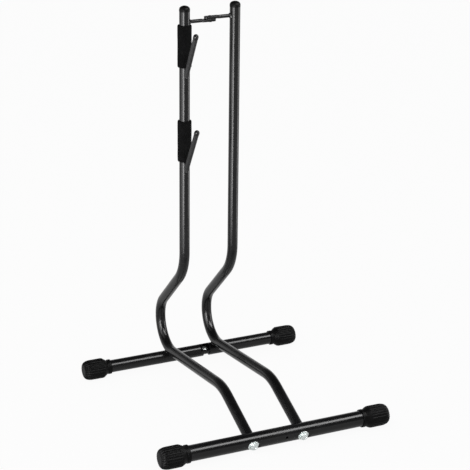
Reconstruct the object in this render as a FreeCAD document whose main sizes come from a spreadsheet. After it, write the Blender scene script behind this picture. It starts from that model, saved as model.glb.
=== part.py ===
"""Floor rack for one bicycle: two bent tubes on a front and a rear bar, with foam sleeves and hooks.

Frame: +X runs along the bars, +Y is the rear of the rack, +Z is up, and the origin is on the floor
under the middle of the rack. Lengths are in millimetres and angles in degrees.
"""
import FreeCAD, Part
import math
import os
import re

import Sketcher

V = FreeCAD.Vector
X_AXIS = V(1, 0, 0)
Y_AXIS = V(0, 1, 0)
SAME = 0.01  # how far apart two equal lengths may be

# ---------------------------------------------------------------- driving sizes
SIZES = {
    # bent tubes
    "tube_spacing": (102, "between the axes of the two bent tubes, which leaves the wheel slot"),
    "tube_d": (20, "outside diameter of the bent tubes"),
    "tube_wall": (1.2, "their wall"),
    "upright_top": (754.8, "height of the open tops of the uprights"),
    "upright_start": (279.6, "height at which the uprights become straight"),
    "upper_bend_r": (89.4, "centre line radius of the bend under each upright"),
    "rear_bend_r": (57.3, "centre line radius of the large bend behind the wheel"),
    "rear_lap": (13.1, "angle round that bend, from its lowest point to the rear bar"),
    "low_bend_r": (95.2, "centre line radius of the gentle bend behind the front bar"),
    "end_run": (115.4, "straight run from the front bar's axis to that bend"),
    "end_slope": (22.3, "rise of that run, which is also the tilt of the bolts"),
    # bars
    "front_reach": (314.2, "front bar's axis ahead of the uprights"),
    "rear_reach": (87.1, "rear bar's axis behind the uprights"),
    "front_bar_d": (30, "outside diameter of the front bar"),
    "front_bar_wall": (1.5, "its wall"),
    "rear_bar_d": (25, "outside diameter of the rear bar"),
    "rear_bar_wall": (2, "its wall"),
    "foot_span": (466, "over the end faces of the feet"),
    "vent_x": (15.5, "vent hole in the front bar, right of the middle"),
    "vent_d": (5, "its diameter"),
    # feet
    "front_foot_d": (41.7, "diameter of the front feet"),
    "rear_foot_d": (39.9, "diameter of the rear feet"),
    "foot_length": (57, "length of a foot"),
    "foot_end_wall": (5, "closed end of a foot"),
    "foot_round": (11, "rounding of a foot's end"),
    "foot_fit": (0.15, "gap round a bar in its foot"),
    "collar_length": (6, "collar of a foot, next to the bar"),
    "collar_rise": (2.2, "collar over the bar"),
    "groove_length": (2, "groove behind the collar"),
    "groove_rise": (1.2, "groove over the bar"),
    "shoulder_length": (9, "taper from the groove to the barrel"),
    "rib_count": (24, "ribs round a foot"),
    "flute_r": (1.9, "radius of the flutes between the ribs"),
    "flute_depth": (0.9, "depth of the flutes"),
    "sole_depth": (0.4, "depth of the flat sole"),
    # front joints
    "bolt_d": (8, "thread of the bolts"),
    "bolt_length": (40, "shank of the bolts"),
    "bolt_head_w": (13, "width of the bolt heads over their flats"),
    "bolt_head_t": (5.3, "thickness of the bolt heads"),
    "bolt_chamfer": (0.5, "width that the chamfer takes from their flats, at the top"),
    "bolt_dish_d": (8, "dish in the bolt heads"),
    "bolt_dish_t": (1, "depth of the dish"),
    "bolt_hole_fit": (0.4, "gap round a bolt in the bar and in the washer"),
    "thread_fit": (0.05, "gap round a bolt in its insert"),
    "washer_d": (21, "diameter of the washers"),
    "washer_t": (1.6, "thickness of the washers"),
    "dent_seat": (11, "flat bottom of a dent, from the front bar's axis"),
    "dent_flare": (30, "lean of a dent's wall"),
    "dent_rim": (0.4, "gap round a washer in its dent"),
    "insert_start": (15.5, "face of a threaded insert, from the front bar's axis"),
    "insert_length": (15, "length of a threaded insert"),
    "insert_fit": (0.1, "gap round an insert in its tube"),
    "cope_fit": (0.05, "gap between the tube's coped end and the front bar"),
    # rear joint
    "rivet_x": (30, "rear rivet, right of the middle"),
    "rivet_d": (6, "shank of the rear rivet"),
    "rivet_head_d": (12, "head of the rear rivet"),
    "rivet_head_t": (2.7, "height of its head"),
    "rivet_inset": (0.2, "end of its shank, inside the outline of the lower tongue"),
    "lap_before": (12.2, "end of the upper tongue, left of the rivet"),
    "lap_after": (7.9, "start of the right half's full tube, right of the rivet"),
    "lap_gap": (14.1, "between the full undersides of the two halves"),
    "neck_inset": (2.9, "lower tongue inside the outline of the tube"),
    "neck_shoulder": (2.8, "length of the shoulder before the lower tongue"),
    "neck_reach": (16, "end of the lower tongue, right of the rivet"),
    "seat_t": (2, "thickness of the flat seat under the rivet's head"),
    "seat_back": (6.5, "from the rivet's axis to the wall that is left standing behind it"),
    "facet_length": (33, "pressed flat on the front of the left half, before the joint"),
    "facet_tilt": (76, "its normal, from straight up towards the front"),
    "facet_depth": (1.1, "its depth"),
    "joint_fit": (0.1, "gap between the two halves"),
    # link between the uprights
    "link_drop": (18.4, "meeting of the two eyes, below the tops of the uprights"),
    "link_rod_d": (7, "link rods"),
    "eye_t": (4.2, "thickness of the flattened eyes"),
    "eye_w": (11, "width of the eyes"),
    "eye_reach": (11.7, "end of an eye past the rivet"),
    "eye_root": (14, "start of an eye before the rivet"),
    "link_rivet_d": (5, "shank of the link rivet"),
    "link_head_d": (9, "its head"),
    "link_head_t": (2.2, "height of its head"),
    "link_tail_d": (8, "its formed tail"),
    "link_tail_t": (1.6, "height of its tail"),
    # hooks
    "hook_d": (9.4, "rod of the hooks"),
    "hook_stand": (2, "a hook's axis ahead of the upright, at the hook's base"),
    "hook_root": (8, "rod below that base, coped to the upright"),
    "upper_hook_drop": (8.2, "base of the upper hook, below the upper sleeve"),
    "upper_hook_lean": (27.8, "its lean from the upright"),
    "upper_hook_length": (93.6, "from its base to its end"),
    "lower_hook_drop": (9.5, "base of the lower hook, below the lower sleeve"),
    "lower_hook_lean": (29.7, "its lean from the upright"),
    "lower_hook_length": (99.8, "from its base to its end"),
    "tip_length": (9, "length of a hook's tip"),
    "tip_wall": (0.3, "wall of a tip round the rod"),
    "tip_end": (4.5, "thickness of a tip over the rod's end"),
    "tip_fit": (0.05, "gap round the rod in its tip"),
    # foam sleeves
    "foam_wall": (3.2, "wall of the foam sleeves"),
    "foam_length": (80, "length of a sleeve"),
    "foam_fit": (0.3, "gap between a sleeve and the steel in it"),
    "foam_drop": (25.6, "upper end of the upper sleeve, below the top of its upright"),
    "foam_pitch": (184, "from the upper sleeve down to the lower one"),
    # tube plugs
    "plug_rim_t": (4.2, "rim of a plug, over the end of its tube"),
    "plug_overhang": (0.2, "rim outside the tube"),
    "plug_dome": (6.4, "height of its dome over the rim"),
    "plug_stem": (15, "stem in the tube"),
    "plug_fit": (0.1, "gap round the stem"),
    # weld beads
    "weld_gap": (0.1, "between the bent tubes and the rear bar they are welded on"),
    "weld_skin": (0.02, "gap between a bead and the parts it joins"),
    "rear_bead_w": (15, "width of the beads on the rear bar"),
    "rear_bead_l": (17, "their length"),
    "rear_bead_t": (9, "their height"),
    "link_bead_reach": (2.4, "beads along the link rods, from the uprights"),
    "link_bead_rise": (3.6, "the beads' slope ends this far outside the rods"),
    "hook_bead_w": (7, "width of the beads under the hooks"),
    "hook_bead_l": (15, "their length"),
    "hook_bead_t": (7, "their thickness"),
    # cutting tools
    "overcut": (1, "how far a cutting tool runs past what it cuts"),
}

# what follows from them, each written once
DERIVED = {
    "tube_r": "tube_d / 2",
    "tube_bore_r": "tube_r - tube_wall",
    "front_bar_r": "front_bar_d / 2",
    "rear_bar_r": "rear_bar_d / 2",
    "tube_x": "tube_spacing / 2",
    "front_z": "front_foot_d / 2 - sole_depth",
    "rear_z": "rear_foot_d / 2 - sole_depth",
    "bend_to_bar": "rear_bend_r + tube_r + rear_bar_r + weld_gap",
    "bend_behind": "rear_reach - bend_to_bar * sin(rear_lap)",
    "rear_most": "bend_behind + rear_bend_r + tube_r",
    "front_most": "front_reach + front_foot_d / 2",
    "upright_y": "(front_most - rear_most) / 2",
    "front_y": "upright_y - front_reach",
    "rear_y": "upright_y + rear_reach",
    "bend_y": "upright_y + bend_behind",
    "bend_z": "rear_z + bend_to_bar * cos(rear_lap)",
    "bar_end": "foot_span / 2 - foot_end_wall",
    "head_side": "dent_seat + washer_t",
    "dent_r": "washer_d / 2 + dent_rim",
    "dent_height": "front_bar_r - dent_seat + 2 * overcut",
    "lap_start": "rivet_x - lap_before",
    "lap_end": "rivet_x + lap_after",
    "neck_r": "rear_bar_r - neck_inset",
    "hook_y": "upright_y - tube_r - hook_stand",
    "hook_r": "hook_d / 2",
    "tip_r": "hook_r + tip_fit + tip_wall",
    "rod_stop": "tip_end + tip_fit",
    "foam_bore_r": "tube_r + foam_fit",
    "foam_r": "foam_bore_r + foam_wall",
    "link_z": "upright_top - link_drop",
    "upper_foam_z": "upright_top - foam_drop - foam_length",
    "lower_foam_z": "upper_foam_z - foam_pitch",
    "upper_hook_z": "upper_foam_z - upper_hook_drop",
    "lower_hook_z": "lower_foam_z - lower_hook_drop",
}

doc = FreeCAD.newDocument("floor_bike_rack")
sheet = doc.addObject("Spreadsheet::Sheet", "sizes")
for row, (alias, (value, note)) in enumerate(SIZES.items(), start=1):
    sheet.set(f"A{row}", note)
    sheet.set(f"B{row}", str(value))
    sheet.setAlias(f"B{row}", alias)
doc.recompute()


# ---------------------------------------------------------------- helpers
def expand(text):
    """Spell an expression out in cells of the sheet."""
    word = re.compile(r"[a-z]\w*")
    while any(name in DERIVED for name in word.findall(text)):
        text = word.sub(lambda found: f"({DERIVED[found[0]]})" if found[0] in DERIVED else found[0],
                        text)
    return word.sub(lambda found: f"sizes.{found[0]}" if found[0] in SIZES else found[0], text)


def size(text):
    """The value of an expression now."""
    return float(sheet.evalExpression(expand(text)))


def bind(item, **expressions):
    """Tie an object's properties to expressions."""
    for name, text in expressions.items():
        item.setExpression(name, expand(text))
    return item


def place(item, x="0", y="0", z="0", axis=None, angle="0"):
    """Tie an object's place, and its turn about one axis, to expressions."""
    if axis:
        item.Placement = FreeCAD.Placement(V(), FreeCAD.Rotation(axis, size(angle)))
        item.setExpression("Placement.Rotation.Angle", expand(angle))
    for name, text in (("x", x), ("y", y), ("z", z)):
        item.setExpression(f"Placement.Base.{name}", expand(text))
    return item


def cylinder(name, radius, height, **where):
    """A round bar, standing on its base unless it is turned."""
    item = doc.addObject("Part::Cylinder", name)
    return place(bind(item, Radius=radius, Height=height), **where)


def cone(name, low_radius, high_radius, height, **where):
    """A cone or taper, standing on its base unless it is turned."""
    item = doc.addObject("Part::Cone", name)
    return place(bind(item, Radius1=low_radius, Radius2=high_radius, Height=height), **where)


def box(name, length, width, height, **where):
    """A box, its corner at its place."""
    item = doc.addObject("Part::Box", name)
    return place(bind(item, Length=length, Width=width, Height=height), **where)


def ellipsoid(name, across, along, high, **where):
    """An ellipsoid of three full widths."""
    item = doc.addObject("Part::Ellipsoid", name)
    radii = {"Radius1": f"({high}) / 2", "Radius2": f"({across}) / 2", "Radius3": f"({along}) / 2"}
    return place(bind(item, **radii), **where)


def bar_x(name, radius, start, end, y, z):
    """A round bar along X, from start to end."""
    return cylinder(name, radius, f"({end}) - ({start})", x=start, y=y, z=z, axis=Y_AXIS, angle="90")


def fuse(name, *items):
    """Several solids in one."""
    item = doc.addObject("Part::MultiFuse", name)
    item.Shapes = list(items)
    item.Refine = True
    return item


def cut(name, base, *tools):
    """A solid less its tools."""
    item = doc.addObject("Part::Cut", name)
    item.Base = base
    item.Tool = tools[0] if len(tools) == 1 else fuse(f"{name}_tools", *tools)
    item.Refine = True
    return item


def common(name, base, tool):
    """What two solids share."""
    item = doc.addObject("Part::Common", name)
    item.Base = base
    item.Tool = tool
    return item


def origin_item(body, role):
    """One of a body's own origin planes or axes."""
    return next(item for item in body.Origin.OriginFeatures if item.Role == role)


def new_sketch(body, name, role, offset="0"):
    """A sketch on one of a body's origin planes, or at an offset from it."""
    item = body.newObject("Sketcher::SketchObject", name)
    item.AttachmentSupport = (origin_item(body, role), [""])
    item.MapMode = "FlatFace"
    item.setExpression("AttachmentOffset.Base.z", expand(offset))
    return item


def hold(item, kind, *where, text):
    """Add a dimension to a sketch and tie it to an expression."""
    value = size(text)
    if kind == "Angle":
        value = math.radians(value)
    index = item.addConstraint(Sketcher.Constraint(kind, *where, value))
    item.setExpression(f"Constraints[{index}]", expand(text))


def pin(item, geometry, point, across, up):
    """Hold a sketch point at two distances from the sketch's origin."""
    for kind, axis, text in (("DistanceX", -2, across), ("DistanceY", -1, up)):
        if text == "0":
            item.addConstraint(Sketcher.Constraint("PointOnObject", geometry, point, axis))
        else:
            hold(item, kind, -1, 1, geometry, point, text=text)


def add_circle(item, across, up, radius):
    """A circle held at its centre."""
    circle = Part.Circle(V(size(across), size(up), 0), V(0, 0, 1), size(radius))
    index = item.addGeometry(circle)
    pin(item, index, 3, across, up)
    hold(item, "Radius", index, text=radius)


def add_outline(item, corners):
    """A closed outline of straight edges through corners, each held."""
    points = [V(size(across), size(up), 0) for across, up in corners]
    first = item.GeometryCount
    for start, end in zip(points, points[1:] + points[:1]):
        item.addGeometry(Part.LineSegment(start, end))
    for index, (across, up) in enumerate(corners):
        before = first + (index - 1) % len(corners)
        item.addConstraint(Sketcher.Constraint("Coincident", before, 2, first + index, 1))
        pin(item, first + index, 1, across, up)


def new_body(name):
    """An empty body under its node's name."""
    return doc.addObject("PartDesign::Body", name)


def revolve(body, name, outline, axis_role):
    """Turn a sketch a full circle round one of its body's axes."""
    item = body.newObject("PartDesign::Revolution", name)
    item.Profile = outline
    item.ReferenceAxis = (origin_item(body, axis_role), [""])
    item.Angle = 360
    return item


def pocket(body, name, outline, length, reverse=False, both_ways=False):
    """Cut a sketch into a body, and make sure that it cuts."""
    before = body.Shape.Volume
    item = body.newObject("PartDesign::Pocket", name)
    item.Profile = outline
    item.Reversed = reverse
    item.Midplane = both_ways
    bind(item, Length=length)
    doc.recompute()
    if body.Shape.Volume >= before:
        raise RuntimeError(f"{body.Name}.{name} cuts nothing")
    return item


# ---------------------------------------------------------------- bent tubes
def cross_tangent(start, start_r, end, end_r, turn):
    """Direction of the line that leaves one circle and crosses over to the other side of the next."""
    reach = end - start
    return math.atan2(reach.y, reach.x) + turn * math.asin((start_r + end_r) / reach.Length)


def heading(angle):
    """The unit vector along an angle."""
    return V(math.cos(angle), math.sin(angle), 0)


def centre_line(body):
    """Sketch the tube's centre line, from the front bar's axis to the top of the upright."""
    low_r, rear_r, upper_r = size("low_bend_r"), size("rear_bend_r"), size("upper_bend_r")
    quarter = math.pi / 2
    slope = math.radians(size("end_slope"))
    start = V(0, size("front_z"), 0)
    low_in = start + heading(slope) * size("end_run")
    low_centre = low_in + heading(slope - quarter) * low_r
    rear_centre = V(size("front_reach + bend_behind"), size("bend_z"), 0)
    upper_centre = V(size("front_reach + upper_bend_r"), size("upright_start"), 0)
    fall = cross_tangent(low_centre, low_r, rear_centre, rear_r, -1)
    rise = cross_tangent(rear_centre, rear_r, upper_centre, upper_r, 1)
    low_out = low_centre + heading(fall + quarter) * low_r
    rear_in = rear_centre + heading(fall - quarter) * rear_r
    rear_out = rear_centre + heading(rise - quarter) * rear_r
    upper_in = upper_centre + heading(rise + quarter) * upper_r
    upper_out = upper_centre + heading(2 * quarter) * upper_r
    top = V(size("front_reach"), size("upright_top"), 0)

    def arc(centre, radius, first, last):
        return Part.ArcOfCircle(Part.Circle(centre, V(0, 0, 1), radius), first, last)

    path = new_sketch(body, f"{body.Name}_path", "YZ_Plane")
    path.addGeometry([
        Part.LineSegment(start, low_in),
        arc(low_centre, low_r, fall + quarter, slope + quarter),
        Part.LineSegment(low_out, rear_in),
        arc(rear_centre, rear_r, fall - quarter, rise - quarter),
        Part.LineSegment(rear_out, upper_in),
        arc(upper_centre, upper_r, 2 * quarter, rise + quarter),
        Part.LineSegment(upper_out, top),
    ])
    run_in, low, run_low, rear, run_up, upper, upright = range(7)
    first, last, centre = 1, 2, 3
    joints = [(run_in, last, low, last), (low, first, run_low, first), (run_low, last, rear, first),
              (rear, last, run_up, first), (run_up, last, upper, last), (upper, first, upright, first)]
    for joint in joints:
        path.addConstraint(Sketcher.Constraint("Tangent", *joint))
    path.addConstraint(Sketcher.Constraint("Vertical", upright))
    pin(path, run_in, first, "0", "front_z")
    hold(path, "Angle", run_in, text="end_slope")
    hold(path, "Distance", run_in, text="end_run")
    hold(path, "Radius", low, text="low_bend_r")
    hold(path, "Radius", rear, text="rear_bend_r")
    hold(path, "Radius", upper, text="upper_bend_r")
    pin(path, rear, centre, "front_reach + bend_behind", "bend_z")
    pin(path, upright, last, "front_reach", "upright_top")
    hold(path, "DistanceY", -1, 1, upright, first, text="upright_start")
    return path


def bent_tube(name, x):
    """One bent tube, coped at its lower end to lie against the front bar."""
    body = new_body(name)
    path = centre_line(body)
    ring = new_sketch(body, f"{name}_ring", "XY_Plane", "upright_top")
    add_circle(ring, "0", "front_reach", "tube_r")
    add_circle(ring, "0", "front_reach", "tube_bore_r")
    sweep = body.newObject("PartDesign::AdditivePipe", f"{name}_sweep")
    sweep.Profile = ring
    sweep.Spine = (path, [])
    doc.recompute()
    cope = new_sketch(body, f"{name}_cope", "YZ_Plane")
    add_circle(cope, "0", "front_z", "front_bar_r + cope_fit")
    pocket(body, f"{name}_coped_end", cope, "2 * tube_d", both_ways=True)
    return place(body, x=x, y="front_y")


# ---------------------------------------------------------------- front bar and its bolts
def on_bolt_line(name, radius, start, length, x, hexagon=False):
    """A round or hexagonal bar on a bolt's axis, from start towards the bolt's head."""
    if hexagon:
        item = doc.addObject("Part::Prism", name)
        item.Polygon = 6
        bind(item, Circumradius=radius, Height=length)
    else:
        item = bind(doc.addObject("Part::Cylinder", name), Radius=radius, Height=length)
    return place(item, x=x, y=f"front_y - ({start}) * cos(end_slope)",
                 z=f"front_z - ({start}) * sin(end_slope)", axis=X_AXIS, angle="90 + end_slope")


def dent(name, grow, x):
    """The tool for a dent round a bolt, or for the inner side of its pressed wall."""
    return cone(name, f"dent_r + {grow}", f"dent_r + {grow} + (dent_height + {grow}) * tan(dent_flare)",
                f"dent_height + {grow}", x=x, y=f"front_y - (dent_seat - {grow}) * cos(end_slope)",
                z=f"front_z - (dent_seat - {grow}) * sin(end_slope)", axis=X_AXIS, angle="90 + end_slope")


def front_bar():
    """The front bar: a tube with two pressed dents, their bolt holes and a vent hole."""
    ends = ("-bar_end", "bar_end")
    bore_r = "front_bar_r - front_bar_wall"
    outside = bar_x("front_bar_outside", "front_bar_r", *ends, "front_y", "front_z")
    bore = bar_x("front_bar_bore", bore_r, *ends, "front_y", "front_z")
    dents = []
    dent_backs = []
    holes = []
    for side, x in (("left", "-tube_x"), ("right", "tube_x")):
        dents.append(dent(f"{side}_dent", "0", x))
        dent_backs.append(dent(f"{side}_dent_back", "front_bar_wall", x))
        holes.append(on_bolt_line(f"{side}_bolt_hole", "bolt_d / 2 + bolt_hole_fit",
                                  "-front_bar_d", "2 * front_bar_d", x))
    dented = cut("front_bar_dented", outside, *dents)
    inside = cut("front_bar_inside", bore, *dent_backs)
    vent = cylinder("front_bar_vent", "vent_d / 2", "front_bar_d", x="vent_x", y="front_y", z="front_z",
                    axis=X_AXIS, angle="90")
    return cut("front_bar", dented, inside, *holes, vent)


def bolt(name, x):
    """A hexagon bolt, its head dished, its shank through the front bar and into the insert."""
    flats_to_corner = "bolt_head_w / 2 / cos(30)"
    head = on_bolt_line(f"{name}_hexagon", flats_to_corner, "head_side", "bolt_head_t", x, hexagon=True)
    round_off = cone(f"{name}_round_off", f"{flats_to_corner} + bolt_head_t",
                     "bolt_head_w / 2 - bolt_chamfer", "bolt_head_t", x=x,
                     y="front_y - head_side * cos(end_slope)",
                     z="front_z - head_side * sin(end_slope)", axis=X_AXIS, angle="90 + end_slope")
    shank = on_bolt_line(f"{name}_shank", "bolt_d / 2", "head_side - bolt_length", "bolt_length", x)
    dish = on_bolt_line(f"{name}_dish", "bolt_dish_d / 2", "head_side + bolt_head_t - bolt_dish_t",
                        "bolt_head_t", x)
    return cut(name, fuse(f"{name}_blank", common(f"{name}_head", head, round_off), shank), dish)


def washer(name, x):
    """A flat washer on the bottom of a dent."""
    disc = on_bolt_line(f"{name}_disc", "washer_d / 2", "dent_seat", "washer_t", x)
    hole = on_bolt_line(f"{name}_hole", "bolt_d / 2 + bolt_hole_fit", "dent_seat - overcut",
                        "washer_t + 2 * overcut", x)
    return cut(name, disc, hole)


def end_insert(name, x):
    """A threaded insert in the lower end of a bent tube."""
    start = "-(insert_start + insert_length)"
    plug = on_bolt_line(f"{name}_blank", "tube_bore_r - insert_fit", start, "insert_length", x)
    thread = on_bolt_line(f"{name}_thread", "bolt_d / 2 + thread_fit", f"{start} - overcut",
                          "insert_length + 2 * overcut", x)
    return cut(name, plug, thread)


# ---------------------------------------------------------------- rear bar
def rear_bar_left():
    """The longer half of the rear bar, with the lower tongue and a pressed flat before the joint."""
    bore_r = "(rear_bar_r - rear_bar_wall)"
    neck_bore_r = "(neck_r - rear_bar_wall)"
    full_end = "(lap_end - lap_gap)"
    shoulder_end = "(lap_end - lap_gap + neck_shoulder)"
    body = new_body("rear_bar_left")
    outline = new_sketch(body, "left_half_outline", "XZ_Plane")
    add_outline(outline, [
        ("-bar_end", bore_r),
        ("-bar_end", "rear_bar_r"),
        (full_end, "rear_bar_r"),
        (shoulder_end, "neck_r"),
        ("rivet_x + neck_reach", "neck_r"),
        ("rivet_x + neck_reach", neck_bore_r),
        (f"{shoulder_end} - rear_bar_wall", neck_bore_r),
        (f"{full_end} - rear_bar_wall", bore_r),
    ])
    revolve(body, "left_half_turned", outline, "X_Axis")
    doc.recompute()
    above = new_sketch(body, "left_half_above", "XZ_Plane")
    tongue_start = "lap_start - joint_fit"
    tongue_end = "rivet_x + neck_reach + overcut"
    add_outline(above, [
        (tongue_start, "-joint_fit"),
        (tongue_end, "-joint_fit"),
        (tongue_end, "rear_bar_d"),
        (tongue_start, "rear_bar_d"),
    ])
    pocket(body, "left_half_opened", above, "2 * rear_bar_d", both_ways=True)
    drilled = new_sketch(body, "left_half_drilled", "XY_Plane")
    add_circle(drilled, "rivet_x", "0", "rivet_d / 2 + joint_fit")
    pocket(body, "left_half_hole", drilled, "2 * rear_bar_d", both_ways=True)
    pressed = new_sketch(body, "left_half_pressed", "YZ_Plane", "lap_start")
    facet = "(rear_bar_r - facet_depth)"
    outside = "rear_bar_d"
    add_outline(pressed, [
        (f"{side} * rear_bar_r * cos(facet_tilt) - {out} * sin(facet_tilt)",
         f"{side} * rear_bar_r * sin(facet_tilt) + {out} * cos(facet_tilt)")
        for out, side in ((facet, -1), (facet, 1), (outside, 1), (outside, -1))
    ])
    pocket(body, "left_half_facet", pressed, "facet_length")
    return place(body, y="rear_y", z="rear_z")


def rear_bar_right():
    """The shorter half, with the seat for the rivet's head and the wall left standing behind it."""
    axis = ("rear_y", "rear_z")
    outside = bar_x("right_half_outside", "rear_bar_r", "lap_start", "bar_end", *axis)
    bore = bar_x("right_half_bore", "rear_bar_r - rear_bar_wall", "lap_start", "bar_end", *axis)
    below = box("right_half_below", "lap_end - lap_start", "rear_bar_d", "rear_bar_d", x="lap_start",
                y="rear_y - rear_bar_r", z="rear_z - rear_bar_d")
    front = box("right_half_front", "lap_end - lap_start", "rear_bar_r + seat_back", "rear_bar_d",
                x="lap_start", y="rear_y - rear_bar_r", z="rear_z")
    tube = cut("right_half_tube", outside, bore, below, front)
    plate = box("right_half_plate", "lap_end - lap_start + neck_inset", "rear_bar_d", "seat_t",
                x="lap_start", y="rear_y - rear_bar_r", z="rear_z")
    outline = bar_x("right_half_round", "rear_bar_r", "lap_start", "lap_end + neck_inset", *axis)
    seat = common("right_half_seat", outline, plate)
    hole = cylinder("right_half_hole", "rivet_d / 2 + joint_fit", "rear_bar_d", x="rivet_x",
                    y="rear_y", z="rear_z")
    return cut("rear_bar_right", fuse("right_half_blank", tube, seat), hole)


def domed_head(name, head_d, head_t, **where):
    """The upper half of an ellipsoid, the form of a set rivet's head."""
    whole = ellipsoid(f"{name}_form", head_d, head_d, f"2 * ({head_t})", **where)
    half = box(f"{name}_half", head_d, head_d, head_t, x=f"({where['x']}) - ({head_d}) / 2",
               y=f"({where['y']}) - ({head_d}) / 2", z=where["z"])
    return common(name, whole, half)


def rear_bar_rivet():
    """The rivet through both tongues: head on the seat, tail flush with the lower tongue."""
    head = domed_head("rear_rivet_head", "rivet_head_d", "rivet_head_t", x="rivet_x", y="rear_y",
                      z="rear_z + seat_t")
    shank = cylinder("rear_rivet_shank", "rivet_d / 2", "neck_r + seat_t - rivet_inset", x="rivet_x",
                     y="rear_y", z="rear_z - neck_r + rivet_inset")
    return fuse("rear_bar_rivet", head, shank)


# ---------------------------------------------------------------- link between the uprights
def link_rod(name, side, z):
    """A rod from one upright, its end flattened into an eye. Side is -1 for the left upright."""
    tube_x = f"{side} * tube_x"
    root = f"{side} * eye_root"
    eye_end = f"{-side} * (eye_reach - eye_w / 2)"
    start, end = (tube_x, root) if side < 0 else (root, tube_x)
    low, high = (root, eye_end) if side < 0 else (eye_end, root)
    rod = bar_x(f"{name}_bar", "link_rod_d / 2", start, end, "upright_y", z)
    root_end = cylinder(f"{name}_root", "eye_w / 2", "eye_t", x=root, y="upright_y", z=f"{z} - eye_t / 2")
    eye = box(f"{name}_eye", f"({high}) - ({low})", "eye_w", "eye_t", x=low, y="upright_y - eye_w / 2",
              z=f"{z} - eye_t / 2")
    eye_round = cylinder(f"{name}_eye_end", "eye_w / 2", "eye_t", x=eye_end, y="upright_y", z=f"{z} - eye_t / 2")
    hole = cylinder(f"{name}_hole", "link_rivet_d / 2 + joint_fit", "link_rod_d", y="upright_y",
                    z=f"{z} - link_rod_d / 2")
    upright = cylinder(f"{name}_upright", "tube_r + weld_skin", "upright_top", x=tube_x, y="upright_y")
    return cut(name, fuse(f"{name}_blank", rod, root_end, eye, eye_round), hole, upright)


def link_rivet():
    """The rivet through the two eyes, with its head on top and its formed tail below."""
    head = domed_head("link_rivet_head", "link_head_d", "link_head_t", x="0", y="upright_y",
                      z="link_z + eye_t")
    tail = cylinder("link_rivet_tail", "link_tail_d / 2", "link_tail_t", y="upright_y",
                    z="link_z - eye_t - link_tail_t")
    shank = cylinder("link_rivet_shank", "link_rivet_d / 2", "2 * eye_t", y="upright_y", z="link_z - eye_t")
    return fuse("link_rivet", head, tail, shank)


def link_weld(name, side, z):
    """The bead where a link rod meets its upright."""
    ring = cone(f"{name}_ring", "link_rod_d / 2 + link_bead_rise", "link_rod_d / 2 + weld_gap",
                "2 * link_bead_reach", x=f"{side} * (tube_x - tube_r + link_bead_reach)", y="upright_y", z=z,
                axis=Y_AXIS, angle="90" if side < 0 else "270")
    rod = bar_x(f"{name}_rod", "link_rod_d / 2 + weld_skin", "-tube_x", "tube_x", "upright_y", z)
    upright = cylinder(f"{name}_upright", "tube_r + weld_skin", "upright_top", x=f"{side} * tube_x",
                       y="upright_y")
    return cut(name, ring, rod, upright)


# ---------------------------------------------------------------- hooks
def on_hook(name, which, radius, start, length):
    """A round bar on a hook's axis; start is measured from the hook's base."""
    return cylinder(name, radius, length, x="-tube_x", y=f"hook_y - ({start}) * sin({which}_hook_lean)",
                    z=f"{which}_hook_z + ({start}) * cos({which}_hook_lean)",
                    axis=X_AXIS, angle=f"{which}_hook_lean")


def left_upright(name):
    """The outside of the left upright, as a tool."""
    return cylinder(name, "tube_r + weld_skin", "upright_top", x="-tube_x", y="upright_y")


def hook(which):
    """A hook's rod, coped to the left upright."""
    rod = on_hook(f"{which}_hook_rod", which, "hook_r", "-hook_root",
                  f"hook_root + {which}_hook_length - rod_stop")
    return cut(f"{which}_hook", rod, left_upright(f"{which}_hook_cope"))


def hook_tip(which):
    """The tip over the end of a hook, with a round end."""
    name = f"{which}_hook_tip"
    sleeve = on_hook(f"{name}_sleeve", which, "tip_r", f"{which}_hook_length - tip_length",
                     "tip_length - tip_r")
    end = doc.addObject("Part::Sphere", f"{name}_end")
    bind(end, Radius="tip_r")
    centre = f"({which}_hook_length - tip_r)"
    place(end, x="-tube_x", y=f"hook_y - {centre} * sin({which}_hook_lean)",
          z=f"{which}_hook_z + {centre} * cos({which}_hook_lean)")
    bore = on_hook(f"{name}_bore", which, "hook_r + tip_fit",
                   f"{which}_hook_length - tip_length - tip_r", "tip_length + tip_r - tip_end")
    return cut(name, fuse(f"{name}_blank", sleeve, end), bore)


def hook_weld(which):
    """The bead under a hook's base."""
    name = f"{which}_hook_weld"
    bead = ellipsoid(f"{name}_form", "hook_bead_w", "hook_bead_t", "hook_bead_l", x="-tube_x",
                     y="upright_y - tube_r", z=f"{which}_hook_z - hook_bead_l / 2 + hook_stand")
    rod = on_hook(f"{name}_rod", which, "hook_r + weld_skin", "-hook_root - weld_skin",
                  "hook_root + hook_bead_l")
    return cut(name, bead, rod, left_upright(f"{name}_upright"))


# ---------------------------------------------------------------- sleeves, plugs and beads
def foam_sleeve(which):
    """A foam sleeve on the left upright, notched where its hook starts."""
    name = f"{which}_foam_sleeve"
    z = f"{which}_foam_z"
    outside = cylinder(f"{name}_outside", "foam_r", "foam_length", x="-tube_x", y="upright_y", z=z)
    bore = cylinder(f"{name}_bore", "foam_bore_r", "foam_length + 2 * overcut", x="-tube_x",
                    y="upright_y", z=f"{z} - overcut")
    notch = on_hook(f"{name}_notch", which, "hook_r + foam_fit", "-hook_root", "hook_root + foam_length")
    return cut(name, outside, bore, notch)


def tube_plug(name, x):
    """The plug in the top of an upright: stem, rim and dome."""
    stem = cylinder(f"{name}_stem", "tube_bore_r - plug_fit", "plug_stem", x=x, y="upright_y",
                    z="upright_top - plug_stem")
    rim = cylinder(f"{name}_rim", "tube_r + plug_overhang", "plug_rim_t", x=x, y="upright_y", z="upright_top")
    dome = domed_head(f"{name}_dome", "tube_d", "plug_dome", x=x, y="upright_y", z="upright_top + plug_rim_t")
    return fuse(name, stem, rim, dome)


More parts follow.
